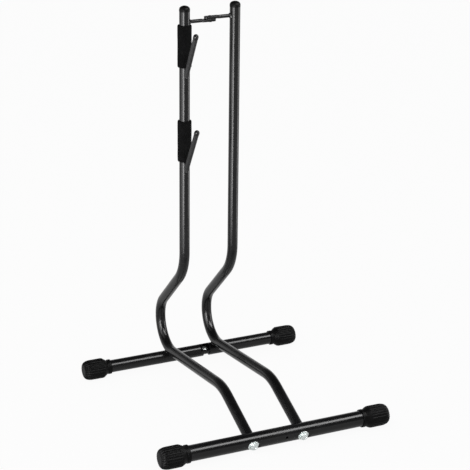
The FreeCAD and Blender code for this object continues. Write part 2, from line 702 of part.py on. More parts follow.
def rear_weld(name, x):
    """The bead round the place where a bent tube rests on the rear bar."""
    touch = "(rear_bar_r + weld_gap / 2)"
    bead = ellipsoid(f"{name}_form", "rear_bead_w", "rear_bead_l", "rear_bead_t", x=x,
                     y=f"rear_y - {touch} * sin(rear_lap)", z=f"rear_z + {touch} * cos(rear_lap)",
                     axis=X_AXIS, angle="rear_lap")
    bend = doc.addObject("Part::Torus", f"{name}_tube")
    bind(bend, Radius1="rear_bend_r", Radius2="tube_r + weld_skin")
    place(bend, x=x, y="bend_y", z="bend_z", axis=Y_AXIS, angle="90")
    bar = bar_x(f"{name}_bar", "rear_bar_r + weld_skin", "-bar_end", "bar_end", "rear_y", "rear_z")
    return cut(name, bead, bend, bar)


# ---------------------------------------------------------------- feet
def foot(name, which, side):
    """A ribbed end cap on a bar, drawn along +X from its inner end. Side is -1 on the left."""
    bar_r = f"{which}_bar_r"
    foot_r = f"{which}_foot_d / 2"
    barrel_start = "collar_length + groove_length + shoulder_length"
    body = new_body(name)
    outline = new_sketch(body, f"{name}_outline", "XZ_Plane")
    add_outline(outline, [
        ("0", f"{bar_r} + foot_fit"),
        ("0", f"{bar_r} + collar_rise"),
        ("collar_length", f"{bar_r} + collar_rise"),
        ("collar_length", f"{bar_r} + groove_rise"),
        ("collar_length + groove_length", f"{bar_r} + groove_rise"),
        (barrel_start, foot_r),
        ("foot_length", foot_r),
        ("foot_length", "0"),
        ("foot_length - foot_end_wall + foot_fit", "0"),
        ("foot_length - foot_end_wall + foot_fit", f"{bar_r} + foot_fit"),
    ])
    turned = revolve(body, f"{name}_turned", outline, "X_Axis")
    doc.recompute()
    far_edges = [f"Edge{number}" for number, edge in enumerate(turned.Shape.Edges, start=1)
                 if edge.BoundBox.XMin > size("foot_length") - SAME]
    rounded = body.newObject("PartDesign::Fillet", f"{name}_rounded")
    rounded.Base = (turned, far_edges)
    bind(rounded, Radius="foot_round")
    doc.recompute()
    flute_line = f"({foot_r} + flute_r - flute_depth)"
    groove = new_sketch(body, f"{name}_flute_line", "YZ_Plane", barrel_start)
    add_circle(groove, f"{flute_line} * sin(180 / rib_count)", f"{flute_line} * cos(180 / rib_count)",
               "flute_r")
    flute = pocket(body, f"{name}_flute", groove, "foot_length", reverse=True)
    flutes = body.newObject("PartDesign::PolarPattern", f"{name}_flutes")
    flutes.Originals = [flute]
    flutes.Axis = (origin_item(body, "X_Axis"), [""])
    flutes.Angle = 360
    bind(flutes, Occurrences="rib_count")
    body.Tip = flutes
    doc.recompute()
    floor = new_sketch(body, f"{name}_floor", "XY_Plane", f"sole_depth - {foot_r}")
    add_outline(floor, [
        ("0", f"-{foot_r}"),
        ("foot_length", f"-{foot_r}"),
        ("foot_length", foot_r),
        ("0", foot_r),
    ])
    pocket(body, f"{name}_sole", floor, "sole_depth + overcut")
    return place(body, x=f"{side} * (foot_span / 2 - foot_length)", y=f"{which}_y", z=f"{which}_z",
                 axis=V(0, 0, 1), angle="0" if side > 0 else "180")


# ---------------------------------------------------------------- the rack
parts = [
    bent_tube("left_bent_tube", "-tube_x"),
    bent_tube("right_bent_tube", "tube_x"),
    front_bar(),
    rear_bar_left(),
    rear_bar_right(),
    rear_bar_rivet(),
    link_rod("left_link_rod", -1, "(link_z - eye_t / 2)"),
    link_rod("right_link_rod", 1, "(link_z + eye_t / 2)"),
    link_rivet(),
    link_weld("left_link_weld", -1, "(link_z - eye_t / 2)"),
    link_weld("right_link_weld", 1, "(link_z + eye_t / 2)"),
]
for side, x in (("left", "-tube_x"), ("right", "tube_x")):
    parts.append(bolt(f"{side}_bolt", x))
    parts.append(washer(f"{side}_washer", x))
    parts.append(end_insert(f"{side}_end_insert", x))
    parts.append(tube_plug(f"{side}_tube_plug", x))
    parts.append(rear_weld(f"{side}_rear_weld", x))
for which in ("upper", "lower"):
    parts.append(hook(which))
    parts.append(hook_tip(which))
    parts.append(hook_weld(which))
    parts.append(foam_sleeve(which))
for which in ("front", "rear"):
    parts.append(foot(f"{which}_left_foot", which, -1))
    parts.append(foot(f"{which}_right_foot", which, 1))
doc.recompute()

for item in doc.Objects:
    if "Invalid" in item.State or "Error" in item.State:
        raise RuntimeError(f"{item.Name} failed: {item.State}")
os.makedirs("parts", exist_ok=True)
for part in parts:
    part.Label = part.Name
    if part.Shape.isNull() or not part.Shape.isValid():
        raise RuntimeError(f"{part.Name} has no valid shape")
for part in parts:
    part.Shape.exportStep(f"parts/{part.Label}.step")
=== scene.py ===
"""Dress the floor bike rack: painted tubes, foam sleeves, hooks, ribbed feet, bolts and a plain studio.

Lengths are in metres. +X runs along the bars, +Y is the rear of the rack and +Z is up.
"""
import math

import bmesh
import bpy
from bpy.props import FloatProperty, FloatVectorProperty, IntProperty, PointerProperty
from mathutils import Matrix, Vector, noise


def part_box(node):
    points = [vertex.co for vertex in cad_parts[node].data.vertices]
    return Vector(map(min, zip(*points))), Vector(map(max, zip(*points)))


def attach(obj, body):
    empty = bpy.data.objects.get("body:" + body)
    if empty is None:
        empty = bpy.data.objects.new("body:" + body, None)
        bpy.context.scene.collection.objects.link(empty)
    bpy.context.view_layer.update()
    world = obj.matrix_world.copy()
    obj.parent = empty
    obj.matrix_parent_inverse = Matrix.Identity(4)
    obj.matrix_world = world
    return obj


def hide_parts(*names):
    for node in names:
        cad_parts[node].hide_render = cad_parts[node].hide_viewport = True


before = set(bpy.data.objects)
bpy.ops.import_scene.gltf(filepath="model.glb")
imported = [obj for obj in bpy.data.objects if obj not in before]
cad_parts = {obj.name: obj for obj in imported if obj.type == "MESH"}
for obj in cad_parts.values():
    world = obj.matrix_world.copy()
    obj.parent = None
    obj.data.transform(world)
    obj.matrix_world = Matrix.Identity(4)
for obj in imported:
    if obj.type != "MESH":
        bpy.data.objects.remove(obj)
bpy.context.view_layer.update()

bl_info = {
    "name": "Floor bike rack",
    "version": (1, 0, 0),
    "blender": (4, 5, 0),
    "location": "View3D > Sidebar > Rack",
    "description": "Models the details and finishes of a floor rack for one bicycle",
    "category": "Add Mesh",
}

MM = 0.001
SIDES = {"left": -1, "right": 1}  # each with the sign of its X
LEVELS = ("upper", "lower")
MERGE = 0.001 * MM
FINISH_NAME = "finish_{}"


# ---------------- what a user would change
def length(name, description, millimetres):
    """A length that is given in millimetres and kept in metres."""
    return FloatProperty(name=name, description=description, default=millimetres * MM, min=0,
                         precision=5, unit="LENGTH")


def turn(name, description, degrees):
    """An angle that is given in degrees and kept in radians."""
    return FloatProperty(name=name, description=description, default=math.radians(degrees), unit="ROTATION")


def amount(name, description, value):
    """A plain number from nothing upwards."""
    return FloatProperty(name=name, description=description, default=value, min=0)


def colour(name, description, red, green, blue):
    """A colour in linear light."""
    return FloatVectorProperty(name=name, description=description, default=(red, green, blue), min=0, max=1,
                               subtype="COLOR")


class RackSizes(bpy.types.PropertyGroup):
    """Sizes of the details that the frame holds only in outline"""

    turn_steps: IntProperty(name="Turning steps", description="Faces round a turned piece", default=64,
                            min=12)
    edge_round: length("Edge rounding", "Rounding of pressed and moulded edges", 0.35)
    # front bar
    bar_wall: length("Bar wall", "Wall of the front bar", 1.5)
    bolt_tilt: turn("Bolt tilt", "Rise of the bolts towards the rear", 22.3)
    dent_seat: length("Dent seat", "Flat bottom of a dent, from the bar's axis", 11)
    dent_radius: length("Dent radius", "Radius of the flat bottom of a dent", 10.9)
    dent_flare: turn("Dent flare", "Lean of a dent's wall from the bolt", 30)
    dent_blend: length("Dent blend", "How softly a dent runs out into the bar", 1.6)
    vent_x: length("Vent place", "Vent hole, right of the middle of the front bar", 15.5)
    vent_radius: length("Vent radius", "Radius of the vent hole", 2.5)
    # bolts
    head_width: length("Head width", "Width of a bolt head over its flats", 13)
    head_height: length("Head height", "Thickness of a bolt head", 5.3)
    head_dish: length("Head dish", "Radius of the dish in a bolt head", 4)
    dish_depth: length("Dish depth", "Depth of that dish", 1)
    shank_radius: length("Shank radius", "Radius of a bolt's shank", 4)
    bolt_length: length("Bolt length", "Length of a bolt's shank", 40)
    thread_pitch: length("Thread pitch", "Pitch of the bolts' thread", 1.25)
    # feet
    rib_count: IntProperty(name="Ribs", description="Ribs round a foot", default=24, min=3)
    flute_radius: length("Flute radius", "Radius of the flutes between the ribs", 1.9)
    flute_depth: length("Flute depth", "Depth of the flutes", 0.9)
    foot_round: length("Foot rounding", "Rounding of a foot's end", 11)
    foot_wall: length("Foot wall", "Closed end of a foot", 4.85)
    collar_length: length("Collar", "Length of a foot's collar", 6)
    groove_length: length("Groove", "Length of the groove behind the collar", 2)
    shoulder_length: length("Shoulder", "Taper from the groove to the barrel", 9)
    collar_rise: length("Collar rise", "Collar over the bar", 2.2)
    groove_rise: length("Groove rise", "Groove over the bar", 1.2)
    # link
    rod_radius: length("Rod radius", "Radius of the link rods", 3.5)
    swage_length: length("Swage", "Length over which a link rod turns into its eye", 3)
    eye_back: length("Eye back", "Outer face of an eye, from its rod's axis", 3.1)
    # hooks and sleeves
    upper_lean: turn("Upper lean", "Lean of the upper hook", 27.8)
    lower_lean: turn("Lower lean", "Lean of the lower hook", 29.7)
    hook_radius: length("Hook radius", "Radius of the hooks' rods", 4.7)
    tip_length: length("Tip length", "Length of a hook's tip", 9)
    tip_lip: length("Tip lip", "How far the lip of a tip stands out", 0.15)
    foam_round: length("Foam rounding", "Rounding of the sleeves' ends", 3)
    foam_wave: length("Foam wave", "Unevenness of the sleeves", 0.3)
    foam_clearance: length("Foam clearance", "Gap between a sleeve and what presses into it", 0.3)
    # tube plugs
    plug_rim: length("Plug rim", "Rim of a plug, over the end of its tube", 4.2)
    plug_overhang: length("Plug overhang", "Rim outside the tube", 0.2)
    # beads
    ripple_height: length("Ripple height", "Height of the ripples on a weld bead", 0.35)
    ripple_pitch: length("Ripple pitch", "Pitch of those ripples", 1.9)


class RackFinishes(bpy.types.PropertyGroup):
    """Colours and sheen of the finishes"""

    paint: colour("Paint", "Black powder paint of the tubes and bars", 0.0055, 0.0055, 0.006)
    paint_worn: colour("Handled paint", "Paint where it has been handled", 0.013, 0.013, 0.014)
    rod: colour("Rod coating", "Dull coating of the hooks", 0.026, 0.026, 0.027)
    rod_worn: colour("Handled coating", "Coating where things have hung", 0.04, 0.04, 0.041)
    vinyl: colour("Vinyl", "Dipped tips of the hooks", 0.006, 0.006, 0.006)
    foam: colour("Foam", "Foam of the sleeves", 0.0048, 0.0048, 0.005)
    foam_pale: colour("Foam skin", "Skin of the foam where it catches light", 0.008, 0.008, 0.0085)
    plastic: colour("Plastic", "Black plastic of the feet and plugs", 0.003, 0.003, 0.0032)
    plastic_pale: colour("Pale plastic", "Plastic where it is scuffed", 0.006, 0.006, 0.0063)
    zinc: colour("Zinc", "Zinc plating", 0.74, 0.78, 0.77)
    zinc_dark: colour("Dark zinc", "Plating in its darker patches", 0.50, 0.55, 0.54)


class RackStudio(bpy.types.PropertyGroup):
    """Camera, floor and lamps"""

    camera_place: FloatVectorProperty(name="Camera", description="Place of the camera",
                                      default=(-1.26073, -2.77198, 1.51545), subtype="TRANSLATION")
    azimuth: turn("Azimuth", "Camera round the rack, from straight ahead", -24.636)
    elevation: turn("Elevation", "Camera over the horizon", 21.075)
    roll: turn("Roll", "Camera's roll", 0.6405)
    lens: FloatProperty(name="Lens", description="Focal length", default=132.5, unit="CAMERA")
    floor: colour("Floor", "Plain floor", 0.88, 0.88, 0.88)
    floor_width: FloatProperty(name="Floor width", description="Side of the floor", default=60,
                               unit="LENGTH")
    floor_glow: amount("Floor glow", "Share of plain white in what the camera sees of the floor", 0.94)
    floor_mirrored: amount("Mirrored floor", "Share of that white in the floor's reflections", 0.6)
    sky: amount("Sky", "Light of the surroundings on dull surfaces", 0.55)
    back_wall: amount("Back wall", "Brightness of the studio a little over the horizon", 0.3)
    ceiling: amount("Ceiling", "Brightness of the studio overhead", 0.03)


# ---------------- meshes
def eased(points, steps=4):
    """A line of (height, radius, rounding) points as (height, radius) points with rounded corners."""
    corners = [Vector(point[:2]) for point in points]
    roundings = [point[2] for point in points[1:]]
    line = [corners[0]]
    for before, corner, after, rounding in zip(corners, corners[1:], corners[2:], roundings):
        if not rounding:
            line.append(corner)
            continue
        start = corner + (before - corner).normalized() * min(rounding, (before - corner).length / 2)
        end = corner + (after - corner).normalized() * min(rounding, (after - corner).length / 2)
        for step in range(steps + 1):
            share = step / steps
            line.append(start * (1 - share) ** 2 + corner * 2 * share * (1 - share) + end * share ** 2)
    return line + [corners[-1]]


def turned(line, steps, closed=False):
    """A mesh of a line of (height, radius) points spun a full circle about +Z."""
    form = bmesh.new()
    points = [form.verts.new((radius, 0, height)) for height, radius in line]
    edges = [form.edges.new(pair) for pair in zip(points, points[1:])]
    if closed:
        edges.append(form.edges.new((points[-1], points[0])))
    bmesh.ops.spin(form, geom=points + edges, cent=(0, 0, 0), axis=(0, 0, 1), angle=math.tau, steps=steps,
                   use_merge=True)
    return tidy(form)


def tidy(form):
    """Merge what coincides and point every face outwards."""
    bmesh.ops.remove_doubles(form, verts=form.verts, dist=MERGE)
    bmesh.ops.recalc_face_normals(form, faces=form.faces)
    form.normal_update()
    return form


def dome(start, radius, height, steps):
    """The (height, radius) points of a dome, between its edge at start and its top."""
    angles = [math.radians(90) * step / steps for step in range(1, steps)]
    return [Vector((start + height * math.sin(angle), radius * math.cos(angle))) for angle in angles]


def divided(line, pitch):
    """A line with points added wherever two of them lie further apart than pitch."""
    points = [line[0]]
    for start, end in zip(line, line[1:]):
        count = max(1, math.ceil((end - start).length / pitch))
        points += [start.lerp(end, step / count) for step in range(1, count + 1)]
    return points


def ringed(rings):
    """A closed mesh through rings of as many points each, with a cap on the first and last."""
    form = bmesh.new()
    circle = bmesh.ops.create_circle(form, segments=len(rings[0]), radius=1, cap_ends=True)["verts"]
    for vertex, point in zip(circle, rings[0]):
        vertex.co = point
    for ring in rings[1:]:
        grown = bmesh.ops.extrude_edge_only(form, edges=ring_edges(form, circle))["geom"]
        fresh = {edge_end(item, circle): item for item in grown if isinstance(item, bmesh.types.BMVert)}
        circle = [fresh[index] for index in range(len(circle))]
        for vertex, point in zip(circle, ring):
            vertex.co = point
    bmesh.ops.contextual_create(form, geom=ring_edges(form, circle))
    return tidy(form)


def ring_edges(form, circle):
    """The edges round a ring of vertices."""
    return [form.edges.get(pair) for pair in zip(circle, circle[1:] + circle[:1])]


def edge_end(vertex, circle):
    """Which vertex of a ring a newly extruded one hangs on."""
    others = [edge.other_vert(vertex) for edge in vertex.link_edges]
    return next(circle.index(other) for other in others if other in circle)


def copied(node):
    """The mesh of a CAD node, its loose triangles merged."""
    form = bmesh.new()
    form.from_mesh(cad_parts[node].data)
    return tidy(form)


def new_piece(name, form, slot, *nodes):
    """Put a mesh in the scene as a piece that stands for CAD nodes, finished as its slot says."""
    mesh = bpy.data.meshes.new(name)
    form.to_mesh(mesh)
    form.free()
    mesh.materials.append(finish(slot))
    mesh.shade_smooth()
    piece = bpy.data.objects.new(name, mesh)
    bpy.context.scene.collection.objects.link(piece)
    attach(piece, "root")
    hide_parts(*nodes)
    return piece


def sharpen(piece, degrees=38):
    """Keep the hard edges of a piece hard."""
    piece.data.set_sharp_from_angle(angle=math.radians(degrees))
    return piece


def finish_node(node, slot):
    """Give a CAD node that keeps its shape its finish."""
    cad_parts[node].material_slots[0].material = finish(slot)


def middle(node):
    """The middle of a CAD node's box."""
    low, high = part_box(node)
    return (low + high) / 2


# ---------------- finishes
def add_node(tree, kind, **inputs):
    """A shader node with plain values on its sockets."""
    node = tree.nodes.new(kind)
    for name, value in inputs.items():
        node.inputs[name.replace("_", " ")].default_value = value
    return node


def maths(tree, operation, first, second, clamp=False):
    """The result of a maths node whose operands are numbers or other nodes' sockets."""
    node = tree.nodes.new("ShaderNodeMath")
    node.operation = operation
    node.use_clamp = clamp
    for socket, operand in zip(node.inputs, (first, second)):
        if isinstance(operand, bpy.types.NodeSocket):
            tree.links.new(operand, socket)
        else:
            socket.default_value = operand
    return node.outputs[0]


def new_group(name, inputs, outputs):
    """An empty shader group with named number inputs and outputs."""
    group = bpy.data.node_groups.new(name, "ShaderNodeTree")
    group.interface.new_socket("Vector", in_out="INPUT", socket_type="NodeSocketVector")
    for socket in inputs:
        group.interface.new_socket(socket, in_out="INPUT", socket_type="NodeSocketFloat")
    for socket in outputs:
        group.interface.new_socket(socket, in_out="OUTPUT", socket_type="NodeSocketFloat")
    return group, group.nodes.new("NodeGroupInput"), group.nodes.new("NodeGroupOutput")


def grain_group():
    """Fine grain: a height for bumps, from two sizes of noise."""
    group, given, made = new_group("fine grain", ["Scale", "Coarse share"], ["Height"])
    fine = add_node(group, "ShaderNodeTexNoise", Detail=3, Roughness=0.6)
    coarse = add_node(group, "ShaderNodeTexNoise", Detail=2, Roughness=0.5)
    coarse_scale = maths(group, "MULTIPLY", given.outputs["Scale"], 0.3)
    blend = group.nodes.new("ShaderNodeMix")
    group.links.new(given.outputs["Vector"], fine.inputs["Vector"])
    group.links.new(given.outputs["Vector"], coarse.inputs["Vector"])
    group.links.new(given.outputs["Scale"], fine.inputs["Scale"])
    group.links.new(coarse_scale, coarse.inputs["Scale"])
    group.links.new(given.outputs["Coarse share"], blend.inputs[0])
    group.links.new(fine.outputs[0], blend.inputs[2])
    group.links.new(coarse.outputs[0], blend.inputs[3])
    group.links.new(blend.outputs[0], made.inputs["Height"])
    return group


def wear_and_sheen_group():
    """Patches of wear, which on the foam stand for painted sheen: a soft mask with small breaks in it."""
    group, given, made = new_group("wear_and_sheen", ["Scale", "Spread"], ["Mask"])
    patches = add_node(group, "ShaderNodeTexNoise", Detail=4, Roughness=0.65, Distortion=0.4)
    breaks = add_node(group, "ShaderNodeTexNoise", Scale=420, Detail=3, Roughness=0.7)
    soften = add_node(group, "ShaderNodeMapRange", From_Min=0.42, From_Max=0.68, To_Min=0, To_Max=1)
    group.links.new(given.outputs["Vector"], patches.inputs["Vector"])
    group.links.new(given.outputs["Vector"], breaks.inputs["Vector"])
    group.links.new(given.outputs["Scale"], patches.inputs["Scale"])
    group.links.new(patches.outputs[0], soften.inputs["Value"])
    broken = maths(group, "MULTIPLY", soften.outputs[0], breaks.outputs[0])
    mask = maths(group, "MULTIPLY", broken, given.outputs["Spread"], clamp=True)
    group.links.new(mask, made.inputs["Mask"])
    return group


class Finish:
    """A Principled material whose colour and roughness vary in patches of wear (on the foam, of painted
    sheen), and whose grain is a bump.
    """

    def __init__(self, slot, metallic=0, specular=0.5):
        self.material = bpy.data.materials.new(FINISH_NAME.format(slot))
        self.material.use_nodes = True
        self.tree = self.material.node_tree
        self.shader = self.tree.nodes["Principled BSDF"]
        self.shader.inputs["Metallic"].default_value = metallic
        self.shader.inputs["Specular IOR Level"].default_value = specular
        self.place = self.tree.nodes.new("ShaderNodeTexCoord").outputs["Object"]

    def group(self, name, **inputs):
        """One of the shared effects, placed in this material with its own values."""
        node = self.tree.nodes.new("ShaderNodeGroup")
        node.node_tree = bpy.data.node_groups[name]
        for socket, value in inputs.items():
            node.inputs[socket.replace("_", " ")].default_value = value
        self.tree.links.new(self.place, node.inputs["Vector"])
        return node.outputs[0]

    def handled(self, scale, spread, colours, roughness):
        """Vary the colour and the roughness between two values each, in patches of wear; on the foam the
        paler colour is painted sheen.
        """
        mask = self.group("wear_and_sheen", Scale=scale, Spread=spread)
        blend = self.tree.nodes.new("ShaderNodeMix")
        blend.data_type = "RGBA"
        blend.inputs[6].default_value = (*colours[0], 1)
        blend.inputs[7].default_value = (*colours[1], 1)
        gloss = add_node(self.tree, "ShaderNodeMapRange", To_Min=roughness[0], To_Max=roughness[1])
        self.tree.links.new(mask, blend.inputs[0])
        self.tree.links.new(mask, gloss.inputs["Value"])
        self.tree.links.new(blend.outputs[2], self.shader.inputs["Base Color"])
        self.tree.links.new(gloss.outputs[0], self.shader.inputs["Roughness"])

    def grained(self, scale, coarse_share, strength, depth):
        """Give the surface a fine grain."""
        self.bumps(self.group("fine grain", Scale=scale, Coarse_share=coarse_share), strength, depth)

    def bumps(self, height, strength, depth):
        """Turn a height into a bump of the surface."""
        bump = add_node(self.tree, "ShaderNodeBump", Strength=strength, Distance=depth)
        self.tree.links.new(height, bump.inputs["Height"])
        self.tree.links.new(bump.outputs["Normal"], self.shader.inputs["Normal"])


def black_paint(finishes):
    """Satin powder paint with a slight orange peel."""
    made = Finish("black_paint", specular=0.27)
    made.handled(16, 1.2, (finishes.paint, finishes.paint_worn), (0.19, 0.30))
    made.grained(340, 0.7, 0.022, 0.2 * MM)


def rod_coating(finishes):
    """Dull dark grey coating of the hooks."""
    made = Finish("hook_coating", specular=0.22)
    made.handled(40, 1.4, (finishes.rod, finishes.rod_worn), (0.55, 0.42))
    made.grained(900, 0.3, 0.2, 0.2 * MM)


def dipped_vinyl(finishes):
    """Glossy dipped vinyl."""
    made = Finish("vinyl", specular=0.3)
    made.handled(60, 0.8, (finishes.vinyl, finishes.paint_worn), (0.16, 0.3))
    made.grained(260, 0.9, 0.1, 0.3 * MM)


def sleeve_foam(finishes):
    """Matte closed-cell foam: small pits in a dull skin."""
    made = Finish("foam", specular=0.05)
    # The paler skin colour, foam_pale, is painted sheen, laid in random patches rather than where light
    # falls.
    made.handled(55, 1.6, (finishes.foam, finishes.foam_pale), (0.92, 0.8))
    cells = add_node(made.tree, "ShaderNodeTexVoronoi", Scale=1500)
    made.tree.links.new(made.place, cells.inputs["Vector"])
    pits = add_node(made.tree, "ShaderNodeMapRange", From_Min=0, From_Max=0.5, To_Min=0, To_Max=1)
    made.tree.links.new(cells.outputs["Distance"], pits.inputs["Value"])
    made.bumps(pits.outputs[0], 0.55, 0.4 * MM)


def moulded_plastic(slot, finishes, low, high, specular):
    """Black moulded plastic with a fine eroded texture and scuffs."""
    made = Finish(slot, specular=specular)
    made.handled(70, 1.5, (finishes.plastic, finishes.plastic_pale), (low, high))
    made.grained(1100, 0.25, 0.1, 0.2 * MM)


def zinc_plating(finishes):
    """Bright bluish zinc with darker patches."""
    made = Finish("zinc", metallic=1)
    made.handled(160, 1.5, (finishes.zinc, finishes.zinc_dark), (0.36, 0.52))
    made.grained(700, 0.5, 0.08, 0.2 * MM)


class RACK_OT_finishes(bpy.types.Operator):
    """Make the finishes that the pieces share"""

    bl_idname = "rack.finishes"
    bl_label = "Finishes"

    def execute(self, context):
        finishes = context.scene.rack_finishes
        grain_group()
        wear_and_sheen_group()
        black_paint(finishes)
        rod_coating(finishes)
        dipped_vinyl(finishes)
        sleeve_foam(finishes)
        moulded_plastic("plug_plastic", finishes, 0.42, 0.52, 0.1)
        moulded_plastic("foot_plastic", finishes, 0.4, 0.52, 0.07)
        zinc_plating(finishes)
        return {"FINISHED"}


def finish(slot):
    """The finish of a material slot of the record."""
    return bpy.data.materials[FINISH_NAME.format(slot)]


# ---------------- pieces
class RACK_OT_bent_tubes(bpy.types.Operator):
    """Paint the two bent tubes and what is inside their lower ends"""

    bl_idname = "rack.bent_tubes"
    bl_label = "Bent tubes"

    def execute(self, context):
        for side in SIDES:
            finish_node(f"{side}_bent_tube", "black_paint")
            finish_node(f"{side}_end_insert", "zinc")
        return {"FINISHED"}


def bolt_turn(sizes):
    """The turn that points +Z along a bolt, from the rack towards its head."""
    return Matrix.Rotation(math.radians(90) + sizes.bolt_tilt, 4, "X")


def soft_lower(first, second, blend):
    """The lower of two numbers, with a soft change from one to the other."""
    share = min(1, max(0, 0.5 + 0.5 * (second - first) / blend))
    return second * (1 - share) + first * share - blend * share * (1 - share)


def press_dent(form, axis_point, sizes):
    """Press a round flat seat for a washer into a bar."""
    out = bolt_turn(sizes).to_3x3() @ Vector((0, 0, 1))
    for vertex in form.verts:
        place = vertex.co - axis_point
        rise = place.dot(out)
        if rise <= 0:
            continue
        spread = (place - out * rise).length
        limit = sizes.dent_seat + max(0, spread - sizes.dent_radius) / math.tan(sizes.dent_flare)
        vertex.co += out * min(0, soft_lower(rise, limit, sizes.dent_blend) - rise)


def bar_stations(low, high, busy, reach, fine, plain):
    """Places along a bar, close together near the busy ones."""
    stations = [low]
    while stations[-1] < high:
        near = any(abs(stations[-1] + fine / 2 - place) < reach for place in busy)
        ahead = [place - reach for place in busy if place - reach > stations[-1] + fine / 2]
        step = fine if near else min([plain] + [place - stations[-1] for place in ahead])
        stations.append(min(high, stations[-1] + max(step, fine / 2)))
    return stations


class RACK_OT_front_bar(bpy.types.Operator):
    """Model the front bar, a tube with two pressed dents and a vent hole"""

    bl_idname = "rack.front_bar"
    bl_label = "Front bar"

    round_steps = 128
    busy_reach = 18 * MM
    busy_pitch = 0.9 * MM
    plain_pitch = 12 * MM

    def execute(self, context):
        sizes = context.scene.rack_sizes
        low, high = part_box("front_bar")
        radius = (high.z - low.z) / 2
        axis = Vector((0, middle("front_left_foot").y, (low.z + high.z) / 2))
        bolts = [middle(f"{side}_washer").x for side in SIDES]
        places = bar_stations(low.x, high.x, [*bolts, sizes.vent_x], self.busy_reach, self.busy_pitch,
                              self.plain_pitch)
        form = bmesh.new()
        circle = bmesh.ops.create_circle(form, segments=self.round_steps, radius=radius)["verts"]
        upright = Matrix.Translation((places[0], axis.y, axis.z)) @ Matrix.Rotation(math.radians(90), 4, "Y")
        bmesh.ops.transform(form, matrix=upright, verts=circle)
        edges = form.edges[:]
        for start, end in zip(places, places[1:]):
            grown = bmesh.ops.extrude_edge_only(form, edges=edges)["geom"]
            edges = [item for item in grown if isinstance(item, bmesh.types.BMEdge)]
            fresh = [item for item in grown if isinstance(item, bmesh.types.BMVert)]
            bmesh.ops.translate(form, vec=(end - start, 0, 0), verts=fresh)
        bmesh.ops.recalc_face_normals(form, faces=form.faces)
        for place in bolts:
            press_dent(form, Vector((place, axis.y, axis.z)), sizes)
        self.drill(form, Vector((sizes.vent_x, axis.y, axis.z)), sizes.vent_radius)
        bmesh.ops.solidify(form, geom=form.faces[:], thickness=sizes.bar_wall)
        new_piece("painted_front_bar", tidy(form), "black_paint", "front_bar")
        return {"FINISHED"}

    def drill(self, form, axis_point, radius):
        """Open a round hole through the front wall and pull its edge into a circle."""
        def off_axis(point):
            return Vector((point.x - axis_point.x, 0, point.z - axis_point.z))

        lost = [face for face in form.faces
                if face.calc_center_median().y < axis_point.y
                and off_axis(face.calc_center_median()).length < radius]
        bmesh.ops.delete(form, geom=lost, context="FACES")
        for vertex in form.verts:
            if vertex.is_boundary and vertex.co.y < axis_point.y and off_axis(vertex.co).length < 2 * radius:
                spoke = off_axis(vertex.co).normalized() * radius
                vertex.co.x = axis_point.x + spoke.x
                vertex.co.z = axis_point.z + spoke.z


class RACK_OT_rear_bar(bpy.types.Operator):
    """Paint the two halves of the rear bar and plate their rivet"""

    bl_idname = "rack.rear_bar"
    bl_label = "Rear bar"

    def execute(self, context):
        for side in SIDES:
            finish_node(f"rear_bar_{side}", "black_paint")
        finish_node("rear_bar_rivet", "zinc")
        return {"FINISHED"}


class RACK_OT_bolts(bpy.types.Operator):
    """Model the two bolts and their washers"""

    bl_idname = "rack.bolts"
    bl_label = "Bolts and washers"

    hex_steps = 48
    flat_share = 0.93
    chamfer = math.radians(30)
    hole_gap = 0.4 * MM
    end_share, root_share = 0.8, 0.86
    # shares of the dish's radius and depth, from its edge inwards
    dish_curve = ((0.86, 0.9), (0.6, 1), (0.2, 1))

    def execute(self, context):
        sizes = context.scene.rack_sizes
        for side in SIDES:
            low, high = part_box(f"{side}_washer")
            thickness = self.washer_thickness(low, high, sizes)
            place = Matrix.Translation(middle(f"{side}_washer")) @ bolt_turn(sizes)
            ring = self.washer(thickness, (high.x - low.x) / 2, sizes)
            bmesh.ops.transform(ring, matrix=place, verts=ring.verts)
            sharpen(new_piece(f"zinc_washer_{side}", ring, "zinc", f"{side}_washer"))
            screw = ringed(self.rings(sizes))
            seat = place @ Matrix.Translation((0, 0, thickness / 2))
            bmesh.ops.transform(screw, matrix=seat, verts=screw.verts)
            sharpen(new_piece(f"zinc_bolt_{side}", screw, "zinc", f"{side}_bolt"), degrees=25)
        return {"FINISHED"}

    def washer_thickness(self, low, high, sizes):
        """The washer's thickness, worked out from its tilted box."""
        tilt = sizes.bolt_tilt
        return (high.z - low.z - (high.x - low.x) * math.cos(tilt)) / math.sin(tilt)

    def washer(self, thickness, radius, sizes):
        """A stamped washer with a soft outer edge, its middle at the origin."""
        bore = sizes.shank_radius + self.hole_gap
        soft = sizes.edge_round
        half = thickness / 2
        line = eased([(-half, (bore + radius) / 2, 0), (-half, radius, soft), (half, radius, soft),
                      (half, bore, soft / 2), (-half, bore, soft / 2), (-half, (bore + radius) / 2, 0)])
        return turned(line[:-1], self.hex_steps * 2, closed=True)

    def rings(self, sizes):
        """Rings of the bolt from the end of its shank to the bottom of the dish in its head."""
        apothem, top = sizes.head_width / 2, sizes.head_height
        flat = apothem * self.flat_share
        shank, pitch = sizes.shank_radius, sizes.thread_pitch

        def circle(radius, height):
            return [Vector((radius * math.cos(angle), radius * math.sin(angle), height)) for angle in angles]

        angles = [math.tau * step / self.hex_steps for step in range(self.hex_steps)]
        sixth = math.tau / 6
        corners = [apothem / math.cos(angle % sixth - sixth / 2) for angle in angles]
        hexagon = [Vector((radius * math.cos(angle), radius * math.sin(angle), 0))
                   for radius, angle in zip(corners, angles)]
        chamfered = [point + Vector((0, 0, top - (point.length - flat) * math.tan(self.chamfer)))
                     for point in hexagon]
        made = [circle(shank * self.end_share, -sizes.bolt_length)]
        crest = -sizes.bolt_length + pitch
        while crest < -sizes.bolt_length / 2:
            made += [circle(shank, crest), circle(shank * self.root_share, crest + pitch / 2)]
            crest += pitch
        made += [circle(shank, crest), circle(shank, 0), hexagon, chamfered, circle(flat, top)]
        dish, soft = sizes.head_dish, sizes.edge_round
        made += [circle(dish + soft, top), circle(dish, top - soft / 2)]
        return made + [circle(dish * out, top - sizes.dish_depth * down) for out, down in self.dish_curve]


